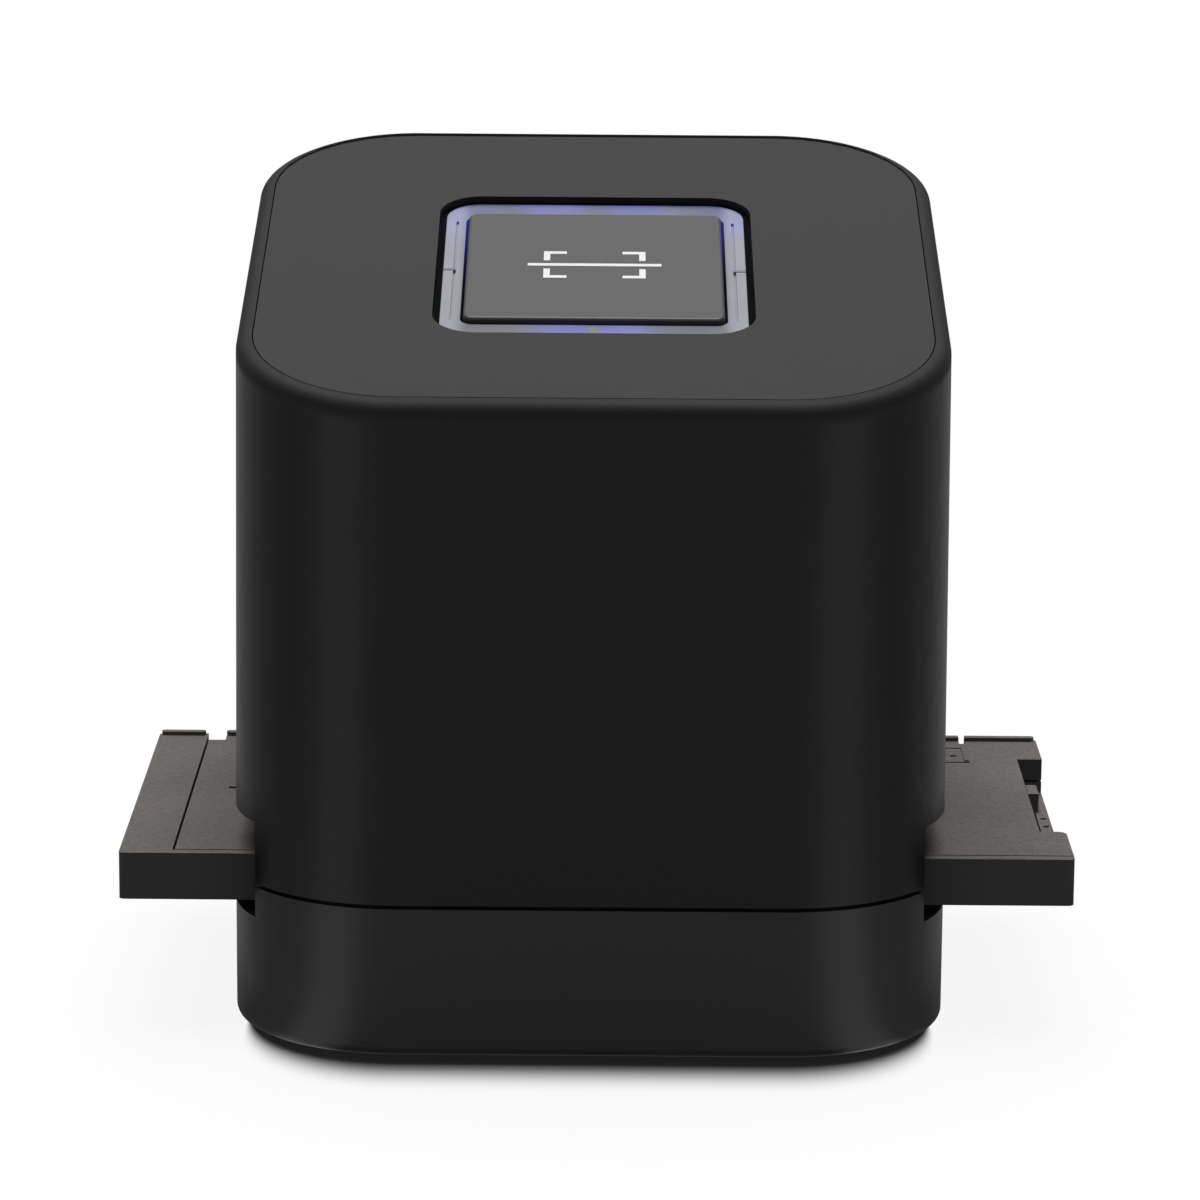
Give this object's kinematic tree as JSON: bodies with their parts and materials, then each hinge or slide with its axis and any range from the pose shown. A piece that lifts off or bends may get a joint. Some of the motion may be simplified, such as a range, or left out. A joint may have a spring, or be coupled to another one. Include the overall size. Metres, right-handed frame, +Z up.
{
  "type": "slide scanner",
  "caption": "Desktop slide scanner: rounded square tower with a sloped top, one large lit scan button, and a flat slide holder that passes through side slots.",
  "frame": {"origin": "on the floor under the middle of the body", "axes": "+Z up, front towards -Y, the slide holder runs along X"},
  "size_m": [0.1177, 0.086, 0.1029],
  "materials": {
    "housing": "satin black moulded plastic",
    "panel": "fine grained black",
    "ring": "frosted translucent light guide",
    "button": "satin dark grey",
    "switch": "moulded",
    "board": "solder-masked circuit board",
    "steel": "plated steel",
    "led_blue": "clear encapsulated",
    "inner_plastic": "light-absorbing black",
    "opal": "opal diffuser",
    "led_white": "phosphor capped",
    "white_plastic": "white reflector",
    "lens_metal": "black anodised",
    "glass": "coated optical glass",
    "chip": "moulded package",
    "ribbon": "white flat cable",
    "rubber": "matt",
    "holder": "spark-eroded warm dark grey"
  },
  "bodies": {
    "housing": {"upper_shell": "housing", "base_shell": "housing", "top_panel": "panel", "light_ring": "ring", "tact_switch": "switch", "button_board": "board", "button_board_screws": "steel", "ring_leds": "led_blue", "film_channel": "inner_plastic", "film_gate": "inner_plastic", "detent_springs": "steel", "diffuser": "opal", "backlight_board": "board", "backlight_leds": "led_white", "light_box": "white_plastic", "optics_tower": "inner_plastic", "lens_barrel": "lens_metal", "lens_elements": "glass", "lens_holder": "inner_plastic", "sensor_board": "board", "image_sensor": "chip", "sensor_screws": "steel", "main_board": "board", "board_chips": "chip", "ribbon_sockets": "chip", "sensor_ribbon": "ribbon", "board_screws": "steel", "usb_socket": "steel", "rubber_feet": "rubber", "housing_screws": "steel"},
    "scan_button": {"scan_button": "button", "switch_plunger": "switch"},
    "slide_holder": {"holder_base": "holder", "hinge_pin": "steel"},
    "holder_lid": {"holder_lid": "holder"}
  },
  "joints": [
    {"name": "holder_slide", "type": "slide", "parent": "housing", "child": "slide_holder", "axis": [1, 0, 0], "range_m": [-0.105, 0.103]},
    {"name": "lid_hinge", "type": "hinge", "parent": "slide_holder", "child": "holder_lid", "pos_m": [-0.04995, 0, 0.0214], "axis": [0, -1, 0], "range_deg": [0, 2.2]},
    {"name": "button_press", "type": "slide", "parent": "housing", "child": "scan_button", "axis": [0, -0.2504, 0.9681], "range_m": [-0.001, 0], "stiffness_N_per_m": 800, "springref_m": 0.001}
  ]
}
